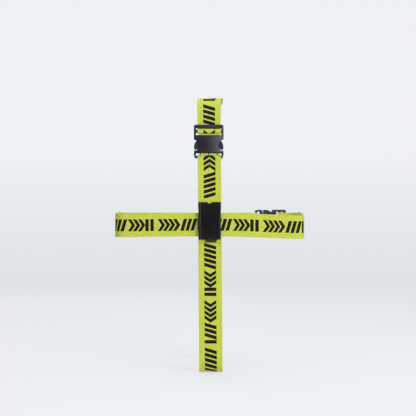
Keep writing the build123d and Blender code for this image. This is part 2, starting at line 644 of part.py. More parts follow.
def card_tray():
    """The smoked clear drawer: a window with a pocket behind it, an end wall and a pull tab."""
    plate_y, plate_l = (TRAY_LOW + TRAY_HIGH) / 2, TRAY_HIGH - TRAY_LOW
    wall_l, wall_back = RIM_L - TRAY_WALL_GAP[0], ROOF[1] + TRAY_WALL_GAP[1]
    with BuildPart() as tray:
        with BuildSketch(Plane.XY.offset(TRAY[0])):
            with Locations((0, plate_y)):
                Rectangle(2 * TRAY_HALF_W, plate_l)
        extrude(amount=TRAY[1] - TRAY[0])
        with BuildSketch(Plane.XY.offset(wall_back)) as wall:
            with Locations((0, TRAY_LOW + wall_l / 2)):
                Rectangle(HOUSING_W, wall_l)
            fillet(wall.vertices().group_by(Axis.Y)[0], TRAY_WALL_CORNER_R)
        extrude(amount=RAIL_FRONT - wall_back)
        fillet(tray.edges().group_by(Axis.Z)[-1], TRAY_EDGE_R)
        with BuildSketch(Plane.XY.offset(TRAY[0])) as tab:
            with BuildLine():
                half_top, half_end = TAB_WIDTHS[0] / 2, TAB_WIDTHS[1] / 2
                root, tip = TRAY_LOW + TAB_ROOT, TRAY_LOW - TAB_LENGTH
                Polyline(
                    (TAB_X - half_top, root),
                    (TAB_X - half_end, tip),
                    (TAB_X + half_end, tip),
                    (TAB_X + half_top, root),
                    close=True,
                )
            make_face()
            fillet(tab.vertices().group_by(Axis.Y)[0], TAB_CORNER_R)
        extrude(amount=TRAY[1] - TRAY[0])
        with BuildSketch(Plane.XY.offset(TRAY[1])):
            with Locations((TAB_X, tip + TAB_RIDGE[1])):
                SlotOverall(*TAB_RIDGE[:2])
        extrude(amount=TAB_RIDGE[2])
        with BuildSketch(Plane.XY.offset(TRAY[0])):
            with Locations((0, plate_y)):
                Rectangle(CARD[0] + 2 * CARD_PLAY, CARD[1] + 2 * CARD_PLAY)
        extrude(amount=CARD[2] + POCKET_SPARE, mode=Mode.SUBTRACT)
    return tray


def name_card():
    """The card in the tray's pocket."""
    with BuildPart() as card:
        with BuildSketch(Plane.XY.offset(TRAY[0] + CARD_LIFT)):
            with Locations((0, (TRAY_LOW + TRAY_HIGH) / 2)):
                RectangleRounded(CARD[0], CARD[1], CARD_CORNER_R)
        extrude(amount=CARD[2])
    return card


def cross_screws():
    """The four countersunk screws that pull the base on to the cover's bosses."""
    head_low = PLATE[0] + SCREW_HEAD_SINK
    shank_r = SCREW_R - SCREW_THREAD_PLAY
    head_depth = SCREW_HEAD_R - shank_r
    with BuildPart() as screws:
        with BuildSketch(Plane.XY.offset(head_low)):
            with GridLocations(2 * SCREW_AT, 2 * SCREW_AT, 2, 2):
                Circle(shank_r)
        extrude(amount=SCREW_LENGTH)
        with Locations((0, 0, head_low)):
            with GridLocations(2 * SCREW_AT, 2 * SCREW_AT, 2, 2):
                Cone(SCREW_HEAD_R, shank_r, head_depth, align=(Align.CENTER, Align.CENTER, Align.MIN))
    return screws


def loop_rod(end):
    """A steel rod inside a webbing loop, too thick to be drawn out through the housing's slot."""
    with BuildPart() as rod:
        with BuildSketch(Plane.YZ.offset(-ROD_LENGTH / 2)):
            with Locations((end * (HOUSING_L / 2 - ROD_FROM_END), ROD_HEIGHT)):
                Circle(ROD_R)
        extrude(amount=ROD_LENGTH)
        fillet(rod.edges(), ROD_END_R)
    return rod


# ---------------------------------------------------------------- what is written

hand_in(upright_webbing(), "upright_webbing")
hand_in(upright_short_webbing(), "upright_short_webbing")
hand_in(level_webbing(), "level_webbing")
hand_in(level_short_webbing(), "level_short_webbing")

loop_tack = HOUSING_L / 2 + TACK_ON_FLAP
loop_front = LOOP_NEAR + HALF_THICK
loop_back = LOOP_FAR - HALF_THICK - TACK_THICK
hand_in(bar_tacks((loop_tack, loop_front), (loop_tack, loop_back)), "upper_loop_tacks", HOUSING_SEAT)
hand_in(bar_tacks((-loop_tack, loop_front), (-loop_tack, loop_back)), "lower_loop_tacks", HOUSING_SEAT)
plug_fold_front = OVER_BAR + HALF_THICK
plug_tack = PLUG_BAR[0] - TACK_BELOW_PLUG_BAR
hand_in(bar_tacks((plug_tack, plug_fold_front)), "plug_fold_tack", BELT_SEAT)
seam_front = LAYER_3 + HALF_THICK
seam_ends = (LEVEL_SEAM[0] + SEAM_INSET, LEVEL_SEAM[1] - SEAM_INSET)
seam_rows = [end - LEVEL_MOUTH_X for end in seam_ends]
hand_in(bar_tacks(*[(row, seam_front) for row in seam_rows]), "level_seam_tacks", LEVEL_SEAT)

socket, frame = buckle_socket(), plug_frame()
left_prong, right_prong = prong(-1), prong(1)
for belt, seat in (("upright", UPRIGHT_SEAT), ("level", LEVEL_SEAT)):
    hand_in(socket, f"{belt}_buckle_socket", seat)
    hand_in(frame, f"{belt}_plug_frame", seat)
    hand_in(left_prong, f"{belt}_left_prong", seat)
    hand_in(right_prong, f"{belt}_right_prong", seat)

hand_in(cross_base(), "cross_base", HOUSING_SEAT)
hand_in(cross_cover(), "cross_cover", HOUSING_SEAT)
hand_in(card_tray(), "card_tray", HOUSING_SEAT)
hand_in(name_card(), "name_card", HOUSING_SEAT)
hand_in(cross_screws(), "cross_screws", HOUSING_SEAT)
hand_in(loop_rod(1), "upper_loop_rod", HOUSING_SEAT)
hand_in(loop_rod(-1), "lower_loop_rod", HOUSING_SEAT)
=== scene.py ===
"""The looks of a cross luggage strap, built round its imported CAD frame.

Lengths are metres in the frame's own axes: +X right, +Y front to back, +Z up. Each length of webbing
is a woven ribbon swept along the same turns as its CAD solid. Its ink and its thread are separate thin
meshes laid on it, in the ribbon's own coordinates: s along it, u across it and h out of its face.
"""

import json
import math

import bmesh
import bpy
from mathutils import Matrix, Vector, noise


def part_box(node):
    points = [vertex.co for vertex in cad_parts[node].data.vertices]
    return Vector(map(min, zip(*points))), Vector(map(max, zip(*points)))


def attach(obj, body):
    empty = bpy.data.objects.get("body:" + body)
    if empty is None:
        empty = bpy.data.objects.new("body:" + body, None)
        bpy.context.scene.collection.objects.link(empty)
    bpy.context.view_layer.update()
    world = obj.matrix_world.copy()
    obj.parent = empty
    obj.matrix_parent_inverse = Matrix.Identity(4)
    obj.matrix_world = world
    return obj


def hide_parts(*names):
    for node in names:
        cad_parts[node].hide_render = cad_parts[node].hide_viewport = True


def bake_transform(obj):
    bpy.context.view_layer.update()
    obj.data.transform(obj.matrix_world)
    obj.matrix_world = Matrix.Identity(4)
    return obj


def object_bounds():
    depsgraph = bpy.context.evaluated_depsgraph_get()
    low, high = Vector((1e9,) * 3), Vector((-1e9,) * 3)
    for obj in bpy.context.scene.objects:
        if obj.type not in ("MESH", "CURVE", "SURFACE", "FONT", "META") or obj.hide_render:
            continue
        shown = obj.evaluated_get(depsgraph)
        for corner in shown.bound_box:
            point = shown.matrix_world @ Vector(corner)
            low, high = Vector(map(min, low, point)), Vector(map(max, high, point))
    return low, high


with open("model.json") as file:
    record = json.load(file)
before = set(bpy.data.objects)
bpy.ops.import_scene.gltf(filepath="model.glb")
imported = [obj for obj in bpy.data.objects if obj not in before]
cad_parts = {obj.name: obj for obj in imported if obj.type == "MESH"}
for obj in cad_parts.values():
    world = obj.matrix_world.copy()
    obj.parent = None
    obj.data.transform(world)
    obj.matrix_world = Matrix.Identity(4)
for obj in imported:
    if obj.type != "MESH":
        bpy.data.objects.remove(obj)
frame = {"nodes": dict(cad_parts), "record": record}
cad_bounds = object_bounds()

MM = 0.001

# ---------------------------------------------------------------- places, from the frame

seats = {mount["name"]: Vector(mount["pos_m"]) for mount in frame["record"]["mounts"]}
FRONT = seats["case_front_seat"].y
BACK = seats["case_back_seat"].y
LEFT = seats["case_left_seat"].x
RIGHT = seats["case_right_seat"].x
TOP = seats["case_top_seat"].z
LEVEL_Z = seats["case_front_seat"].z

housing_low, housing_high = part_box("cross_cover")
HOUSING_TOP = housing_high[2]
HOUSING_LOW = housing_low[2]
HOUSING_HALF_W = (housing_high[0] - housing_low[0]) / 2
UPRIGHT_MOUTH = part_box("upright_buckle_socket")[0][2]
LEVEL_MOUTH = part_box("level_buckle_socket")[0][0]

# ---------------------------------------------------------------- sizes that the CAD part has too

# The webbing, and how it lies on the case.
WIDTH = 50 * MM
THICK = 1.2 * MM
GAP = 0.1 * MM
EDGE_R = 20 * MM
BEND_R = 40 * MM
STEP_R = 30 * MM
HOUSING_RAMP = 36 * MM
HUMP_HALF_L = 32 * MM
HUMP_RAMP = 14 * MM
TOP_TAIL = 45 * MM
SIDE_TAIL = 65 * MM
TAIL_CLEAR = 4 * MM
TAIL_STEP = 12 * MM
GUIDE_CLEAR = 4 * MM
GUIDE_RAMP = 18 * MM
GUIDE_HEIGHT = 2.2 * MM

# The bars and rods that it turns round. Lengths along a buckle are from its socket's mouth.
MIDDLE_BAR = (42.0 * MM, 49.4 * MM)
END_BAR_START = 52.0 * MM
PLUG_BAR = (-11.6 * MM, -6.6 * MM)
BAR_BACK = 3.6 * MM
BAR_THICK = 3.2 * MM
ROD_HEIGHT = 7 * MM
ROD_R = 1.2 * MM
ROD_FROM_END = 12 * MM

# Its tight bends: over an adjuster's middle bar, in the sewn loops round the housing's rods, in the fold
# behind the upright plug, and in the level plug's strip.
ADJUSTER_BENDS = (1.3 * MM, 2.0 * MM, 2.0 * MM, 2.2 * MM)
FLAP = 8 * MM
FLAP_BEND_R = 15 * MM
LOOP_MOUTH = 4.5 * MM
LOOP_MOUTH_R = 6 * MM
LOOP_WIDEST = 1.0 * MM
LOOP_SIDE_R = 3 * MM
TAUT_BEND_R = 200 * MM
TAUT_BEND_DROP = 1.5 * MM
FOLD_BEND_R = 8 * MM
FOLD_BEND_DROP = 9 * MM
FOLD_LENGTH = 28 * MM
FOLD_SLACK = (0.1 * MM, 0.3 * MM)
STRIP_BEND_R = 20 * MM
STRIP_BACK_DROP = (2 * MM, 9 * MM)
STRIP_FRONT_DROP = 18 * MM
STRIP_SHOULDER_R = 12 * MM
TURN_EASE = 0.03 * MM

# Its seams.
TACK_ON_FLAP = 4.8 * MM
TACK_FROM_BAR = 16 * MM
LEVEL_SEAM = (32 * MM, 52 * MM)
SEAM_INSET = 4 * MM

HALF = THICK / 2
PITCH = THICK + GAP
LAYER_1 = HALF
LAYER_2 = LAYER_1 + PITCH
LAYER_3 = LAYER_2 + PITCH
WRAP = GAP + HALF
ROD_LOOP_R = ROD_R + WRAP
OVER_BAR = BAR_BACK + BAR_THICK + WRAP
UNDER_BAR = BAR_BACK - WRAP
BAR_TURN_R = (OVER_BAR - UNDER_BAR) / 2 - TURN_EASE

# ---------------------------------------------------------------- sizes of the looks

# How far the upright belt lies to the right: at the floor, less for each metre of height, and more over
# the top edge, where it swings within this height below the top and this depth behind the front.
UPRIGHT_SHIFT = 2.7 * MM
UPRIGHT_LEAN = 7.0 * MM
TOP_SWING = 5.5 * MM
TOP_SWING_RISE = 12 * MM
TOP_SWING_RUN = 30 * MM
LEAN_LOST_AT_BACK = 0.6
SWING_LOST_AT_BACK = 0.8

# How far the level belt sags on the front, out from the housing on each side. The sag fades between just
# behind the front and just past the case's middle, and the belt climbs a little on the case's sides.
SAG_START = 24 * MM
LEFT_SAG, LEFT_SAG_END = 1.5 * MM, 200 * MM
RIGHT_SAG, RIGHT_SAG_END = 5.5 * MM, 215 * MM
FADE_BEHIND_FRONT = 5 * MM
FADE_PAST_MIDDLE = 20 * MM
CLIMB = 2.0 * MM
CLIMB_RUN = 60 * MM

# The weave: ribs across the webbing, picks along it, round edges, and how far those stray from straight.
# Each edge follows its own line through the noise.
RIBS = 30
RIB_RISE = 0.035 * MM
PICK = 1.25 * MM
PICK_SLANT = 1.1
PICK_SHARE = 0.6
SELVEDGE = 1.1 * MM
SELVEDGE_CURVE = 2.6
SELVEDGE_FALL = 0.98
SELVEDGE_STEPS = 5
EDGE_WANDER = 0.18 * MM
WANDER_SCALE = 28
WANDER_LINE = (3.1, 7)

# How finely a ribbon and a search follow a route, and what is too short to count.
STRAIGHT_STEP = 7 * MM
TURN_STEP = math.radians(7)
REACH_STEP = 0.05 * MM
SHORTEST_STEP = 0.02 * MM
NO_LENGTH = 1e-7
ROUNDING = 1e-9

# The print: bars, leaning bars and arrowheads in a band along the middle, in a thin film of ink that
# reaches a little way into the webbing, and how far it keeps from the webbing's seams, folds and ends.
BAND = 25.5 * MM
STROKE = 7.4 * MM
SLASH_LEAN = 7.5 * MM
CHEVRON_REACH = 8.5 * MM
MARK_PITCH = 10.8 * MM
GROUP_GAP = 5 * MM
INK_ABOVE = 0.045 * MM
INK_BELOW = 0.06 * MM
MERGE_DISTANCE = 2e-6
LOOP_END = 45 * MM
TAIL_MARGIN = 4 * MM
SEAM_MARGIN = 8 * MM
FOLD_MARGIN = 30 * MM
STRIP_PRINT_START = 93 * MM
STRIP_MARGIN = 26 * MM

# The sewing, and a length at which a sewn loop has turned back.
THREAD_R = 0.16 * MM
THREAD_SIDES = 6
THREAD_LIFT = 0.07 * MM
TACK_WIDTH = 43 * MM
STITCH = 1.5 * MM
STITCHES = 56
LOOP_BACK = 35 * MM

# The stretch of each short webbing from just past its seam to this far short of the socket's mouth.
GIVE_CLEAR = 1 * MM
UPRIGHT_GIVE_END = 30 * MM
LEVEL_GIVE_END = 18 * MM


# ---------------------------------------------------------------- node helpers


class Nodes:
    """A material's node tree, written as short calls."""

    def __init__(self, name):
        self.material = bpy.data.materials.new(name)
        self.material.use_nodes = True
        self.tree = self.material.node_tree
        self.shader = self.tree.nodes["Principled BSDF"]

    def feed(self, socket, value):
        """Links another node's output to a socket, or sets the socket to a plain value."""
        if isinstance(value, bpy.types.NodeSocket):
            self.tree.links.new(value, socket)
        else:
            socket.default_value = value

    def node(self, kind, inputs=(), **settings):
        made = self.tree.nodes.new(kind)
        for key, value in settings.items():
            setattr(made, key, value)
        for key, value in dict(inputs).items():
            self.feed(made.inputs[key], value)
        return made

    def math(self, operation, a, b=0.0):
        return self.node("ShaderNodeMath", {0: a, 1: b}, operation=operation).outputs[0]

    def blend(self, kind, share, a, b):
        """Two colours blended. The node's colour sockets share their names, so they go by number."""
        inputs = {0: share, 6: a, 7: b}
        return self.node("ShaderNodeMix", inputs, data_type="RGBA", blend_type=kind).outputs[2]

    def noise(self, scale, detail=3.0, vector=None):
        inputs = {"Scale": scale, "Detail": detail}
        if vector is not None:
            inputs["Vector"] = vector
        return self.node("ShaderNodeTexNoise", inputs).outputs["Fac"]

    def span(self, value, given, wanted):
        """A value whose given span (low, high) is laid over the wanted one, and clamped to it."""
        inputs = {0: value, 1: given[0], 2: given[1], 3: wanted[0], 4: wanted[1]}
        return self.node("ShaderNodeMapRange", inputs).outputs[0]

    def place(self):
        return self.node("ShaderNodeTexCoord").outputs["Object"]

    def rounded(self, radius):
        """The direction that the surface would face if its edges were rounded."""
        return self.node("ShaderNodeBevel", {"Radius": radius}, samples=4).outputs[0]

    def bump(self, height, distance, strength=1.0, below=None):
        inputs = {"Height": height, "Distance": distance, "Strength": strength}
        if below is not None:
            inputs["Normal"] = below
        return self.node("ShaderNodeBump", inputs).outputs[0]

    def set(self, **values):
        """Feeds the shader's inputs, each by its name in lower case, and gives the material."""
        for key, value in values.items():
            name = key.replace("_", " ")
            self.feed(next(s for s in self.shader.inputs if s.name.lower() == name), value)
        return self.material


def colour(red, green, blue):
    """A screen colour of 0 to 255 as the linear colour that the shader takes."""

    def linear(value):
        value /= 255
        return value / 12.92 if value <= 0.04045 else ((value + 0.055) / 1.055) ** 2.4

    return (linear(red), linear(green), linear(blue), 1.0)


# ---------------------------------------------------------------- materials

# Most of a noise's values lie in this span, and most of the weave's heights in this one.
NOISE_SPAN = (0.3, 0.7)
WEAVE_SPAN = (-0.8, 0.8)

# The darkest and lightest: painted shade between yarns and highlight on them, and the fibres' own tone.
PAINTED_YARN_SHADE = (0.8, 1.04)
FIBRE_SHADE = (0.95, 1.04)

# How much glossier and duller than its mean roughness a plastic is in places, and its gloss's tint.
GLOSSIER, DULLER = 0.04, 0.05
GLOSS_TINT = (0.86, 0.83, 1.0, 1.0)

# The cosine between a surface and its rounded shading: no painted edge highlight, and a full one.
EDGE_COSINES = (0.995, 0.85)


def weave(nodes):
    """The yarns of a ribbon as (height, place), from its coordinates s and u in a mesh attribute.

    Each lengthwise rib leans its picks the other way from its neighbours, as in herringbone webbing.
    """
    place = nodes.node("ShaderNodeAttribute", attribute_name="belt").outputs["Vector"]
    parts = nodes.node("ShaderNodeSeparateXYZ", {0: place})
    along, across = parts.outputs[0], nodes.math("ADD", parts.outputs[1], WIDTH)
    zigzag = nodes.math("PINGPONG", across, WIDTH / RIBS / 2)
    phase = nodes.math("ADD", along, nodes.math("MULTIPLY", zigzag, PICK_SLANT))
    picks = nodes.math("SINE", nodes.math("MULTIPLY", phase, 2 * math.pi / PICK))
    ribs = nodes.math("SINE", nodes.math("MULTIPLY", across, 4 * math.pi * RIBS / WIDTH))
    pick_height = nodes.math("MULTIPLY", picks, PICK_SHARE)
    rib_height = nodes.math("MULTIPLY", ribs, 1 - PICK_SHARE)
    return nodes.math("ADD", pick_height, rib_height), place


def grey(nodes, value):
    return nodes.node("ShaderNodeCombineColor", {0: value, 1: value, 2: value}).outputs[0]


def webbing_material():
    """Lime polyester webbing: herringbone yarns with painted shade between them, and slight uneven dye.
    """
    nodes = Nodes("lime_webbing")
    height, place = weave(nodes)
    dye = nodes.span(nodes.noise(scale=22, detail=2), NOISE_SPAN, (0, 1))
    base = nodes.blend("MIX", dye, colour(189, 198, 60), colour(199, 207, 70))
    fibres = nodes.span(nodes.noise(scale=900, detail=2, vector=place), (0.2, 0.8), FIBRE_SHADE)
    # Painted shade in the hollows between the yarns, and a painted highlight on their tops.
    yarns = nodes.span(height, WEAVE_SPAN, PAINTED_YARN_SHADE)
    shade = nodes.math("MULTIPLY", yarns, fibres)
    return nodes.set(
        base_color=nodes.blend("MULTIPLY", 1.0, base, grey(nodes, shade)),
        roughness=0.6,
        sheen_weight=0.1,
        sheen_roughness=0.4,
        specular_ior_level=0.35,
        normal=nodes.bump(height, distance=0.14 * MM, strength=0.9),
    )


def ink_material():
    """Black screen ink, thin enough for the yarns to show as a faint relief, and a little worn."""
    nodes = Nodes("black_ink")
    height, place = weave(nodes)
    paler = nodes.span(nodes.noise(scale=420, detail=4, vector=place), (0.64, 0.8), (0, 0.3))
    return nodes.set(
        base_color=nodes.blend("MIX", paler, colour(10, 10, 9), colour(58, 58, 34)),
        roughness=0.55,
        specular_ior_level=0.16,
        normal=nodes.bump(height, distance=0.1 * MM, strength=0.7),
    )


def thread_material():
    """Twisted polyester thread, a shade off the webbing."""
    nodes = Nodes("lime_thread")
    wave = {"Vector": nodes.place(), "Scale": 900.0, "Distortion": 1.0}
    twist = nodes.node("ShaderNodeTexWave", wave).outputs["Fac"]
    # The colour follows the twist's relief: painted shade in its grooves, painted highlight on its
    # ridges.
    return nodes.set(
        base_color=nodes.blend("MIX", twist, colour(170, 180, 56), colour(214, 220, 96)),
        roughness=0.5,
        sheen_weight=0.15,
        normal=nodes.bump(twist, distance=0.06 * MM),
    )


def plastic_material(name, dark, light, paler, roughness, scuffs, shine):
    """A moulded plastic: a fine grain, cloudy gloss, rounded edges with painted highlight and wear."""
    nodes = Nodes(name)
    place = nodes.place()
    cloud = nodes.noise(scale=45, vector=place)
    rounded = nodes.rounded(0.4 * MM)
    flat = nodes.node("ShaderNodeNewGeometry").outputs["Normal"]
    facing = nodes.node("ShaderNodeVectorMath", {0: rounded, 1: flat}, operation="DOT_PRODUCT")
    # Where the edges are, to be painted paler: a painted highlight, and wear in patches.
    edge = nodes.span(facing.outputs["Value"], EDGE_COSINES, (0, 1))
    patchy = nodes.span(nodes.noise(scale=260, detail=4, vector=place), (0.35, 0.7), (0, 1))
    base = nodes.blend("MIX", nodes.span(cloud, NOISE_SPAN, (0, 1)), dark, light)
    scratch = nodes.span(nodes.noise(scale=700, detail=6, vector=place), (0.55, 0.75), (0, scuffs))
    gloss = nodes.span(cloud, NOISE_SPAN, (roughness - GLOSSIER, roughness + DULLER))
    grain = nodes.noise(scale=2600, detail=2, vector=place)
    # The edges are painted paler in patches: partly a painted highlight, partly wear.
    return nodes.set(
        base_color=nodes.blend("MIX", nodes.math("MULTIPLY", edge, patchy), base, paler),
        roughness=nodes.math("ADD", gloss, scratch),
        specular_ior_level=shine,
        specular_tint=GLOSS_TINT,
        normal=nodes.bump(grain, distance=0.015 * MM, below=rounded),
    )


def smoked_material():
    """Dark smoked clear plastic, a little hazed by handling."""
    nodes = Nodes("smoked_clear")
    place = nodes.place()
    haze = nodes.noise(scale=60, vector=place)
    ripple = nodes.noise(scale=1500, detail=2, vector=place)
    return nodes.set(
        base_color=colour(130, 131, 130),
        roughness=nodes.span(haze, NOISE_SPAN, (0.1, 0.18)),
        transmission_weight=1.0,
        specular_ior_level=0.2,
        ior=1.45,
        normal=nodes.bump(ripple, distance=0.008 * MM, below=nodes.rounded(0.25 * MM)),
    )


def card_material():
    """Matt dark card."""
    nodes = Nodes("dark_card")
    fibres = nodes.noise(scale=1800, detail=5, vector=nodes.place())
    return nodes.set(
        base_color=nodes.blend("MIX", fibres, colour(9, 8, 12), colour(18, 17, 22)),
        roughness=0.85,
        specular_ior_level=0.2,
        normal=nodes.bump(fibres, distance=0.04 * MM),
    )


def steel_material():
    """Plain zinc-plated steel."""
    nodes = Nodes("zinc_steel")
    grain = nodes.noise(scale=1400, detail=4, vector=nodes.place())
    return nodes.set(
        base_color=nodes.blend("MIX", grain, colour(150, 152, 156), colour(190, 191, 194)),
        metallic=1.0,
        roughness=nodes.span(grain, (0.2, 0.8), (0.25, 0.42)),
    )


WEBBING = webbing_material()
INK = ink_material()
THREAD = thread_material()
BUCKLE = plastic_material(
    "buckle_plastic",
    dark=colour(14, 13, 19),
    light=colour(19, 17, 26),
    # Paler colour for the edges: painted highlight and wear.
    paler=colour(74, 72, 86),
    roughness=0.35,
    scuffs=0.1,
    shine=0.62,
)
HOUSING = plastic_material(
    "housing_plastic",
    dark=colour(14, 14, 17),
    light=colour(20, 20, 23),
    # Paler colour for the edges: painted highlight and wear.
    paler=colour(78, 78, 82),
    roughness=0.3,
    scuffs=0.12,
    shine=0.45,
)
SMOKED = smoked_material()
CARD = card_material()
STEEL = steel_material()


# ---------------------------------------------------------------- routes


class Route:
    """A webbing's middle line in a plane: straight runs joined by arcs, with a point at any length s."""

    def __init__(self, corners, outward):
        self.outward = outward
        self.pieces = []
        self.length = 0.0
        at = Vector(corners[0][0])
        for index in range(1, len(corners) - 1):
            corner, radius = Vector(corners[index][0]), corners[index][1]
            incoming = (corner - at).normalized()
            leaving = (Vector(corners[index + 1][0]) - corner).normalized()
            turn = math.atan2(incoming.x * leaving.y - incoming.y * leaving.x, incoming.dot(leaving))
            back = radius * math.tan(abs(turn) / 2)
            self.add_line(at, corner - incoming * back)
            self.add_arc(corner - incoming * back, incoming, radius, turn)
            at = corner + leaving * back
        self.add_line(at, Vector(corners[-1][0]))

    def add_line(self, start, end):
        heading = end - start
        self.pieces.append((self.length, heading.length, start, heading.normalized(), 0.0))
        self.length += heading.length

    def add_arc(self, start, heading, radius, turn):
        run = radius * abs(turn)
        self.pieces.append((self.length, run, start, heading, turn / run if run else 0.0))
        self.length += run

    def at(self, s):
        """The point, heading and outward normal at length s."""
        s = min(max(s, 0.0), self.length)
        begin, _, start, heading, bend = next(
            piece for piece in reversed(self.pieces) if piece[0] <= s + ROUNDING
        )
        run = s - begin
        if bend:
            angle = bend * run
            side = Vector((-heading.y, heading.x))
            point = start + heading * (math.sin(angle) / bend) + side * ((1 - math.cos(angle)) / bend)
            heading = heading * math.cos(angle) + side * math.sin(angle)
        else:
            point = start + heading * run
        normal = Vector((heading.y, -heading.x)) * self.outward
        return point, heading, normal

    def stations(self):
        """Lengths from end to end, close together on the arcs."""
        found = {0.0, self.length}
        for begin, run, _, _, bend in self.pieces:
            if run < NO_LENGTH:
                continue
            count = max(1, math.ceil(abs(bend) * run / TURN_STEP), math.ceil(run / STRAIGHT_STEP))
            found |= {begin + run * k / count for k in range(count + 1)}
        found = sorted(found)
        return [s for k, s in enumerate(found) if k == 0 or s - found[k - 1] > SHORTEST_STEP]

    def reach(self, axis, value, after):
        """The length, past another, at which the line crosses a value of the plane's axis 0 or 1."""
        s = after
        side = self.at(s)[0][axis] > value
        while (self.at(s)[0][axis] > value) == side:
            s += REACH_STEP
        return s


def adjuster_turns(place):
    """The turns round an adjuster's middle bar, from load side to tail, out of (along, height)."""
    outer = (END_BAR_START + MIDDLE_BAR[1]) / 2
    inner = MIDDLE_BAR[0] - WRAP
    turns = ((outer, LAYER_2), (outer, OVER_BAR), (inner, OVER_BAR), (inner, LAYER_1))
    return [(place(*turn), radius) for turn, radius in zip(turns, ADJUSTER_BENDS)]


def rod_loop(end_z, inward):
    """The loop round a housing rod, from the flap's cut end to where the webbing leaves the flap."""
    near, far = ROD_HEIGHT + PITCH / 2, ROD_HEIGHT - PITCH / 2
    flap_end = end_z - FLAP * inward
    mouth = end_z + LOOP_MOUTH * inward
    rod_z = end_z + ROD_FROM_END * inward
    wide = rod_z - LOOP_WIDEST * inward
    turn = rod_z + ROD_LOOP_R * inward
    turn_r = ROD_LOOP_R - TURN_EASE
    out, back = ROD_HEIGHT + ROD_LOOP_R, ROD_HEIGHT - ROD_LOOP_R
    path = [
        (flap_end, near, 0),
        (mouth, near, LOOP_MOUTH_R),
        (wide, out, LOOP_SIDE_R),
        (turn, out, turn_r),
        (turn, back, turn_r),
        (wide, back, LOOP_SIDE_R),
        (mouth, far, LOOP_MOUTH_R),
        (flap_end, far, FLAP_BEND_R),
    ]
    return [((FRONT - height, z), radius) for z, height, radius in path]


def upright_route():
    """From the loop under the housing, down the front and round the case, to the upright buckle."""
    ramp_end = HOUSING_LOW - HOUSING_RAMP
    hump_low, hump_high = LEVEL_Z - HUMP_HALF_L, LEVEL_Z + HUMP_HALF_L
    tail_y = FRONT + EDGE_R + TOP_TAIL
    load_y = tail_y + TAIL_CLEAR
    top_1, top_2 = TOP + LAYER_1, TOP + LAYER_2
    corners = rod_loop(HOUSING_LOW, 1)
    corners += [
        ((FRONT - LAYER_1, ramp_end), BEND_R),
        ((FRONT - LAYER_1, -LAYER_1), EDGE_R + LAYER_1),
        ((BACK + LAYER_1, -LAYER_1), EDGE_R + LAYER_1),
        ((BACK + LAYER_1, hump_low - HUMP_RAMP), BEND_R),
        ((BACK + LAYER_2, hump_low), BEND_R),
        ((BACK + LAYER_2, hump_high), BEND_R),
        ((BACK + LAYER_1, hump_high + HUMP_RAMP), BEND_R),
        ((BACK + LAYER_1, top_1), EDGE_R + LAYER_1),
        ((load_y + TAIL_STEP, top_1), STEP_R),
        ((load_y, top_2), STEP_R),
        ((FRONT - LAYER_2, top_2), EDGE_R + LAYER_2),
    ]
    corners += adjuster_turns(lambda along, height: (FRONT - height, UPRIGHT_MOUTH + along))
    corners += [((FRONT - LAYER_1, top_1), EDGE_R + LAYER_1), ((tail_y, top_1), 0)]
    return Route(corners, 1)


def upright_short_route():
    """From the loop above the housing, up and round the upright plug's bar, to its sewn fold."""
    bar_top = UPRIGHT_MOUTH + PLUG_BAR[1] + WRAP
    bar_low = UPRIGHT_MOUTH + PLUG_BAR[0]
    fold = OVER_BAR - PITCH
    corners = rod_loop(HOUSING_TOP, -1)
    corners += [
        ((FRONT - OVER_BAR, bar_low - TAUT_BEND_DROP), TAUT_BEND_R),
        ((FRONT - OVER_BAR, bar_top), BAR_TURN_R),
        ((FRONT - UNDER_BAR, bar_top), BAR_TURN_R),
        ((FRONT - UNDER_BAR, bar_low), FOLD_BEND_R),
        ((FRONT - fold + FOLD_SLACK[0], bar_low - FOLD_BEND_DROP), FOLD_BEND_R),
        ((FRONT - fold + FOLD_SLACK[1], bar_low - FOLD_LENGTH), 0),
    ]
    return Route(corners, -1)


def level_route():
    """From the seam on the back, round the left side and behind the housing, to the level buckle."""
    guide_x = HOUSING_HALF_W + GUIDE_CLEAR
    tail_y = BACK - EDGE_R - SIDE_TAIL
    load_y = tail_y - TAIL_CLEAR
    left_1, right_1, right_2 = LEFT - LAYER_1, RIGHT + LAYER_1, RIGHT + LAYER_2
    corners = [
        ((LEVEL_SEAM[1], BACK + LAYER_1), 0),
        ((left_1, BACK + LAYER_1), EDGE_R + LAYER_1),
        ((left_1, FRONT - LAYER_1), EDGE_R + LAYER_1),
        ((-guide_x - GUIDE_RAMP, FRONT - LAYER_1), BEND_R),
        ((-guide_x, FRONT - GUIDE_HEIGHT), BEND_R),
        ((guide_x, FRONT - GUIDE_HEIGHT), BEND_R),
        ((guide_x + GUIDE_RAMP, FRONT - LAYER_1), BEND_R),
        ((right_1, FRONT - LAYER_1), EDGE_R + LAYER_1),
        ((right_1, load_y - TAIL_STEP), STEP_R),
        ((right_2, load_y), STEP_R),
        ((right_2, BACK + LAYER_2), EDGE_R + LAYER_2),
    ]
    corners += adjuster_turns(lambda along, height: (LEVEL_MOUTH + along, BACK + height))
    corners += [((right_1, BACK + LAYER_1), EDGE_R + LAYER_1), ((right_1, tail_y), 0)]
    return Route(corners, 1)


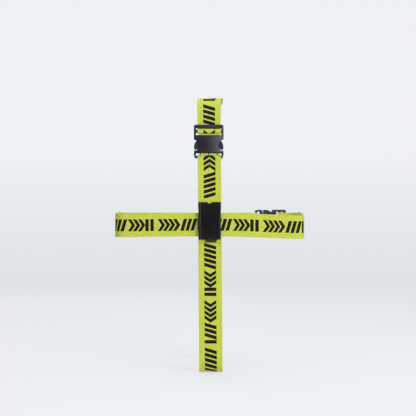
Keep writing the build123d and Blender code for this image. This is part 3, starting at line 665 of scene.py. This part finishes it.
def level_short_route():
    """From the seam on the back, round the level plug's bar, and back to the seam over itself."""
    bar_low = LEVEL_MOUTH + PLUG_BAR[0]
    turn = LEVEL_MOUTH + PLUG_BAR[1] + WRAP
    path = [
        (LEVEL_SEAM[0], LAYER_2, 0),
        (bar_low - STRIP_BACK_DROP[1], LAYER_2, STRIP_BEND_R),
        (bar_low - STRIP_BACK_DROP[0], UNDER_BAR, STRIP_BEND_R),
        (turn, UNDER_BAR, BAR_TURN_R),
        (turn, OVER_BAR, BAR_TURN_R),
        (bar_low, OVER_BAR, STRIP_SHOULDER_R),
        (bar_low - STRIP_FRONT_DROP, LAYER_3, STRIP_BEND_R),
        (LEVEL_SEAM[0], LAYER_3, 0),
    ]
    return Route([((x, BACK + height), radius) for x, height, radius in path], 1)


# ---------------------------------------------------------------- ribbons


def smooth(value, low, high):
    """0 below low, 1 above high, and an easy curve between."""
    t = min(max((value - low) / (high - low), 0.0), 1.0)
    return t * t * (3 - 2 * t)


def upright_drift(y, z):
    """How far the upright belt lies right of its middle: it leans, and swings over the top edge."""
    lean = UPRIGHT_SHIFT - UPRIGHT_LEAN * z
    rise = smooth(z, TOP - TOP_SWING_RISE, TOP)
    swing = TOP_SWING * rise * smooth(y, FRONT, FRONT + TOP_SWING_RUN)
    back = smooth(y, 0.0, BACK)
    return lean * (1 - LEAN_LOST_AT_BACK * back) + swing * (1 - SWING_LOST_AT_BACK * back)


def level_drift(x, y):
    """How far the level belt lies above its middle: it sags in front, and climbs going back."""
    left = LEFT_SAG * smooth(-x, SAG_START, LEFT_SAG_END)
    right = RIGHT_SAG * smooth(x, SAG_START, RIGHT_SAG_END)
    front = 1 - smooth(y, FRONT + FADE_BEHIND_FRONT, FADE_PAST_MIDDLE)
    climb = CLIMB * smooth(y, FRONT, FRONT + CLIMB_RUN) * (1 - smooth(y, 0, BACK))
    return climb - (left + right) * front


def upright_place(route):
    def place(s, u, h):
        point, _, normal = route.at(s)
        at = point + normal * h
        return Vector((upright_drift(point.x, point.y) + u, at.x, at.y))

    return place


def level_place(route):
    def place(s, u, h):
        point, _, normal = route.at(s)
        at = point + normal * h
        return Vector((at.x, at.y, LEVEL_Z + level_drift(point.x, point.y) + u))

    return place


def face_height(u):
    """How far the woven face stands from the middle of the ribbon, at u across it."""
    from_edge = WIDTH / 2 - abs(u)
    if from_edge < SELVEDGE:
        into_edge = 1 - from_edge / SELVEDGE
        return HALF * math.sqrt(max(0.0, 1 - into_edge**SELVEDGE_CURVE)) * SELVEDGE_FALL
    return HALF - RIB_RISE + RIB_RISE * math.cos(2 * math.pi * (u / WIDTH) * RIBS)


def section():
    """The ribbon's section as (u, h): round selvedges, and ribs along both faces."""
    angles = [math.pi / 2 * k / SELVEDGE_STEPS for k in range(1, SELVEDGE_STEPS)]
    edge = [WIDTH / 2 - SELVEDGE * (1 - math.cos(angle)) for angle in angles]
    inner = WIDTH / 2 - SELVEDGE
    count = RIBS * 2
    middle = [-inner + 2 * inner * k / count for k in range(count + 1)]
    across = [-u for u in edge] + middle + edge[::-1]
    outer = [(-WIDTH / 2, 0.0)] + [(u, face_height(u)) for u in across] + [(WIDTH / 2, 0.0)]
    return outer + [(u, -face_height(u)) for u in reversed(across)]


SECTION = section()


def keep_place(mesh, belt):
    """Keeps each point's place on its ribbon with the mesh, for the weave to follow."""
    attribute = mesh.attributes.new("belt", "FLOAT_VECTOR", "POINT")
    attribute.data.foreach_set("vector", [value for point in belt for value in point])


def new_object(name, verts, faces, material, belt=None):
    mesh = bpy.data.meshes.new(name)
    mesh.from_pydata(verts, [], faces)
    mesh.validate()
    if belt is not None:
        keep_place(mesh, belt)
    mesh.materials.append(material)
    made = bpy.data.objects.new(name, mesh)
    bpy.context.scene.collection.objects.link(made)
    mesh.shade_smooth()
    return made


def orient(piece):
    """Turns every face of a closed mesh outwards."""
    shape = bmesh.new()
    shape.from_mesh(piece.data)
    bmesh.ops.recalc_face_normals(shape, faces=shape.faces)
    shape.to_mesh(piece.data)
    shape.free()


def tube_faces(start, rings, count):
    """The faces of a closed tube of rings of count points each, the first of them at index start."""
    faces = []
    for row in range(rings - 1):
        for k in range(count):
            a, b = start + row * count + k, start + row * count + (k + 1) % count
            faces.append((a, b, b + count, a + count))
    last = start + (rings - 1) * count
    faces.append(tuple(range(start, start + count)))
    faces.append(tuple(range(last + count - 1, last - 1, -1)))
    return faces


def edge_wander(s, u):
    """How far a ribbon's point strays sideways, most at the edges."""
    line, side = WANDER_LINE
    stray = noise.noise(Vector((s * WANDER_SCALE, line, math.copysign(side, u))))
    return EDGE_WANDER * stray * abs(u) / (WIDTH / 2)


def ribbon(name, route, place):
    """The woven ribbon along a whole route, closed at its two cut ends."""
    stations = route.stations()
    belt = [(s, u, h) for s in stations for u, h in SECTION]
    verts = [place(s, u + edge_wander(s, u), h) for s, u, h in belt]
    made = new_object(name, verts, tube_faces(0, len(stations), len(SECTION)), WEBBING, belt)
    orient(made)
    return made


# ---------------------------------------------------------------- ink


def slash():
    """One leaning bar, as a polygon of (s, u)."""
    half, lean = BAND / 2, SLASH_LEAN
    return [(0, -half), (STROKE, -half), (STROKE + lean, half), (lean, half)]


def chevron():
    """One arrowhead."""
    half, reach = BAND / 2, CHEVRON_REACH
    return [(0, -half), (STROKE, -half), (STROKE + reach, 0), (STROKE, half), (0, half), (reach, 0)]


def bar():
    """One bar straight across."""
    half = BAND / 2
    return [(0, -half), (STROKE, -half), (STROKE, half), (0, half)]


def motifs(start, end):
    """The printed marks from start to end, in groups, as polygons of (s, u)."""
    groups = ((slash, 5), (chevron, 3), (bar, 2), (chevron, 4), (slash, 3), (bar, 1))
    s, found = start, []
    while s < end:
        for shape, count in groups:
            for _ in range(count):
                mark = [(s + a, u) for a, u in shape()]
                if max(a for a, _ in mark) < end:
                    found.append(mark)
                s += MARK_PITCH
            s += GROUP_GAP
    return found


def print_on(name, route, place, marks):
    """The ink of a ribbon's marks: each a thin closed film cut along the ribbon's own facets."""
    shape = bmesh.new()
    for polygon in marks:
        shape.faces.new([shape.verts.new((s, u, 0.0)) for s, u in polygon])
    low = min(v.co.x for v in shape.verts)
    high = max(v.co.x for v in shape.verts)
    cuts = [(s, Vector((1, 0, 0))) for s in route.stations() if low < s < high]
    cuts += [(u, Vector((0, 1, 0))) for u, h in SECTION if h > 0 and abs(u) < BAND / 2]
    for where, normal in cuts:
        geometry = shape.verts[:] + shape.edges[:] + shape.faces[:]
        bmesh.ops.bisect_plane(
            shape, geom=geometry, plane_co=normal * where, plane_no=normal, dist=MERGE_DISTANCE
        )
    raised = bmesh.ops.extrude_face_region(shape, geom=shape.faces[:], use_keep_orig=True)
    lifted = {v for v in raised["geom"] if isinstance(v, bmesh.types.BMVert)}
    belt = []
    for vert in shape.verts:
        s, u, _ = vert.co
        lift = INK_ABOVE if vert in lifted else -INK_BELOW
        belt.append((s, u, lift))
        vert.co = place(s, u, face_height(u) + lift)
    bmesh.ops.recalc_face_normals(shape, faces=shape.faces)
    made = new_object(name, [], [], INK)
    shape.to_mesh(made.data)
    shape.free()
    keep_place(made.data, belt)
    return made


# ---------------------------------------------------------------- thread


def thread(name, paths):
    """Lengths of sewing thread, each a closed tube through its points."""
    verts, faces = [], []
    for points in paths:
        faces += tube_faces(len(verts), len(points), THREAD_SIDES)
        for k, point in enumerate(points):
            ahead = points[min(k + 1, len(points) - 1)] - points[max(k - 1, 0)]
            ahead.normalize()
            side = ahead.orthogonal().normalized()
            other = ahead.cross(side)
            for j in range(THREAD_SIDES):
                angle = 2 * math.pi * j / THREAD_SIDES
                across, up = THREAD_R * math.cos(angle), THREAD_R * math.sin(angle)
                verts.append(point + side * across + other * up)
    made = new_object(name, verts, faces, THREAD)
    orient(made)
    return made


def zigzag(place, s, face):
    """A bar of close zigzag stitches across a ribbon, on the face that looks out (1) or in (-1)."""
    points = []
    for k in range(STITCHES + 1):
        u = -TACK_WIDTH / 2 + TACK_WIDTH * k / STITCHES
        along = s + (STITCH / 2 if k % 2 else -STITCH / 2)
        points.append(place(along, u, face * (face_height(u) + THREAD_LIFT)))
    return points


# ---------------------------------------------------------------- the webbing and what is on it

upright = upright_route()
upright_at = upright_place(upright)
upright_belt = ribbon("upright_belt", upright, upright_at)
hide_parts("upright_webbing")
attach(upright_belt, "strap")

short = upright_short_route()
short_at = upright_place(short)
short_belt = ribbon("upright_short_belt", short, short_at)
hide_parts("upright_short_webbing")

level = level_route()
level_at = level_place(level)
level_belt = ribbon("level_belt", level, level_at)
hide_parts("level_webbing")
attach(level_belt, "strap")

level_short = level_short_route()
level_short_at = level_place(level_short)
level_short_belt = ribbon("level_short_belt", level_short, level_short_at)
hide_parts("level_short_webbing")

upright_marks = motifs(LOOP_END, upright.length - TAIL_MARGIN)
short_marks = motifs(LOOP_END, short.length - FOLD_MARGIN)
level_marks = motifs(SEAM_MARGIN, level.length - TAIL_MARGIN)
level_short_marks = motifs(STRIP_PRINT_START, level_short.length - STRIP_MARGIN)
upright_print = print_on("upright_print", upright, upright_at, upright_marks)
short_print = print_on("upright_short_print", short, short_at, short_marks)
level_print = print_on("level_print", level, level_at, level_marks)
level_short_print = print_on("level_short_print", level_short, level_short_at, level_short_marks)
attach(upright_print, "strap")
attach(level_print, "strap")

SHORT_FREE = (
    (0, FRONT, HOUSING_TOP + FLAP + GIVE_CLEAR),
    (0, FRONT, UPRIGHT_MOUTH - UPRIGHT_GIVE_END),
)
LEVEL_FREE = (
    (LEVEL_SEAM[1] + GIVE_CLEAR, BACK, LEVEL_Z),
    (LEVEL_MOUTH - LEVEL_GIVE_END, BACK, LEVEL_Z),
)
for piece in (short_belt, short_print):
    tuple(SHORT_FREE[0])
    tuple(SHORT_FREE[1])
    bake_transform(piece)
for piece in (level_short_belt, level_short_print):
    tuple(LEVEL_FREE[0])
    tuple(LEVEL_FREE[1])
    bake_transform(piece)


def sew(name, node, body, rows):
    """Rows of zigzag in place of a CAD node of tacks."""
    made = thread(name, rows)
    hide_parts(node)
    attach(made, body)


# Each row is found past the turn of its own loop or fold.
flap_row = FLAP - TACK_ON_FLAP
lower_return = upright.reach(1, HOUSING_LOW - TACK_ON_FLAP, LOOP_BACK)
upper_return = short.reach(1, HOUSING_TOP + TACK_ON_FLAP, LOOP_BACK)
fold_row = short.reach(1, UPRIGHT_MOUTH + PLUG_BAR[0] - TACK_FROM_BAR, LOOP_END)
level_turn = level_short.length / 2
seam_x = (LEVEL_SEAM[1] - SEAM_INSET, LEVEL_SEAM[0] + SEAM_INSET)
seam_rows = [level_short.reach(0, x, level_turn) for x in seam_x]

lower_zigzags = [zigzag(upright_at, s, -1) for s in (flap_row, lower_return)]
upper_zigzags = [zigzag(short_at, s, -1) for s in (flap_row, upper_return)]
seam_zigzags = [zigzag(level_short_at, s, 1) for s in seam_rows]
sew("lower_loop_thread", "lower_loop_tacks", "strap", lower_zigzags)
sew("upper_loop_thread", "upper_loop_tacks", "strap", upper_zigzags)
sew("plug_fold_thread", "plug_fold_tack", "upright_plug", [zigzag(short_at, fold_row, 1)])
sew("level_seam_thread", "level_seam_tacks", "strap", seam_zigzags)

# ---------------------------------------------------------------- finishes of the CAD pieces

FINISH = {
    "buckle_plastic": BUCKLE,
    "housing_plastic": HOUSING,
    "tray_plastic": SMOKED,
    "card": CARD,
    "steel": STEEL,
    "webbing": WEBBING,
    "thread": THREAD,
}
slot_of = {part["node"]: part["material_slot"] for part in frame["record"]["subparts"]}
for name, node in frame["nodes"].items():
    for slot in node.material_slots:
        slot.material = FINISH[slot_of[name]]

# ---------------------------------------------------------------- floor, light and camera

# The studio is a round floor that curves up through a cove into a wall. It glows by itself, less on the
# floor and more from half way up the cove, and the air glows more overhead than at eye level.
FLOOR_R = 3.6
COVE_R = 1.5
COVE_STEPS = 10
WALL_TOP = 4.6
STUDIO_SIDES = 72
BACKDROP_GLOW = (0.6, 0.8)
AIR_GLOW = (0.12, 1.3)
AIR_COLOUR = (0.97, 0.98, 1.0, 1.0)


def backdrop_material():
    """Pale matt paper with a glow of its own."""
    nodes = Nodes("paper_backdrop")
    height = nodes.node("ShaderNodeSeparateXYZ", {0: nodes.place()}).outputs[2]
    pulp = nodes.noise(scale=3, detail=2)
    return nodes.set(
        base_color=nodes.blend("MIX", pulp, colour(134, 135, 137), colour(137, 138, 140)),
        roughness=0.9,
        specular_ior_level=0.0,
        emission_color=colour(239, 240, 243),
        emission_strength=nodes.span(height, (0, COVE_R / 2), BACKDROP_GLOW),
    )


def studio():
    """The floor and backdrop, which neither light the strap nor show in its gloss."""
    low = cad_bounds[0][2]
    cove = [math.radians(90) * k / COVE_STEPS for k in range(COVE_STEPS + 1)]
    profile = [(FLOOR_R + COVE_R * math.sin(a), low + COVE_R * (1 - math.cos(a))) for a in cove]
    profile.append((FLOOR_R + COVE_R, WALL_TOP))
    around = [2 * math.pi * k / STUDIO_SIDES for k in range(STUDIO_SIDES)]
    verts = [(r * math.cos(a), r * math.sin(a), z) for r, z in profile for a in around]
    faces = [tuple(range(STUDIO_SIDES))]
    for ring in range(len(profile) - 1):
        for k in range(STUDIO_SIDES):
            a, b = ring * STUDIO_SIDES + k, ring * STUDIO_SIDES + (k + 1) % STUDIO_SIDES
            faces.append((a, a + STUDIO_SIDES, b + STUDIO_SIDES, b))
    floor = new_object("studio_floor", verts, faces, backdrop_material())
    floor.visible_glossy = False
    floor.visible_diffuse = False


def studio_air():
    """The room's soft light: bright overhead, dim at eye level, so that upright faces mirror little."""
    world = bpy.data.worlds.new("studio_air")
    world.use_nodes = True
    tree = world.node_tree
    background = tree.nodes["Background"].inputs
    place = tree.nodes.new("ShaderNodeTexCoord")
    parts = tree.nodes.new("ShaderNodeSeparateXYZ")
    height = tree.nodes.new("ShaderNodeMath")
    height.operation = "ABSOLUTE"
    ramp = tree.nodes.new("ShaderNodeMapRange")
    ramp.inputs[3].default_value, ramp.inputs[4].default_value = AIR_GLOW
    tree.links.new(place.outputs["Generated"], parts.inputs[0])
    tree.links.new(parts.outputs[2], height.inputs[0])
    tree.links.new(height.outputs[0], ramp.inputs[0])
    tree.links.new(ramp.outputs[0], background["Strength"])
    background["Color"].default_value = AIR_COLOUR
    bpy.context.scene.world = world


def area_light(name, at, size, power, spread=180):
    """A square soft light that looks at the strap's middle, with its power in watts."""
    lamp = bpy.data.lights.new(name, "AREA")
    lamp.shape = "SQUARE"
    lamp.size = size
    lamp.energy = power
    lamp.spread = math.radians(spread)
    made = bpy.data.objects.new(name, lamp)
    made.location = at
    aim = Vector((0, 0, TOP / 2)) - Vector(at)
    made.rotation_euler = aim.to_track_quat("-Z", "Y").to_euler()
    made.visible_camera = False
    bpy.context.scene.collection.objects.link(made)


studio()
studio_air()
area_light("key", at=(1.3, -2.3, 0.85), size=1.4, power=50)
area_light("fill", at=(-2.4, -2.4, 1.2), size=2.0, power=6)
area_light("top", at=(0.2, -0.3, 2.9), size=2.6, power=20)
area_light("back", at=(-1.0, 2.5, 1.2), size=1.8, power=5, spread=70)
bpy.context.scene.view_settings.view_transform = "Standard"

# The camera looks level at the case's front from this far, and its view is this wide there.
CAMERA_FAR = 2.8
PHOTO_SPAN = 0.889
CAMERA_X = -0.0035
CAMERA_Z = 0.351
SENSOR_WIDTH = 36
camera = bpy.data.cameras.new("camera")
camera.sensor_width = SENSOR_WIDTH
camera.lens = SENSOR_WIDTH * CAMERA_FAR / PHOTO_SPAN
camera_object = bpy.data.objects.new("camera", camera)
camera_object.location = (CAMERA_X, FRONT - CAMERA_FAR, CAMERA_Z)
camera_object.rotation_euler = (math.radians(90), 0, 0)
bpy.context.scene.collection.objects.link(camera_object)
bpy.context.scene.camera = camera_object
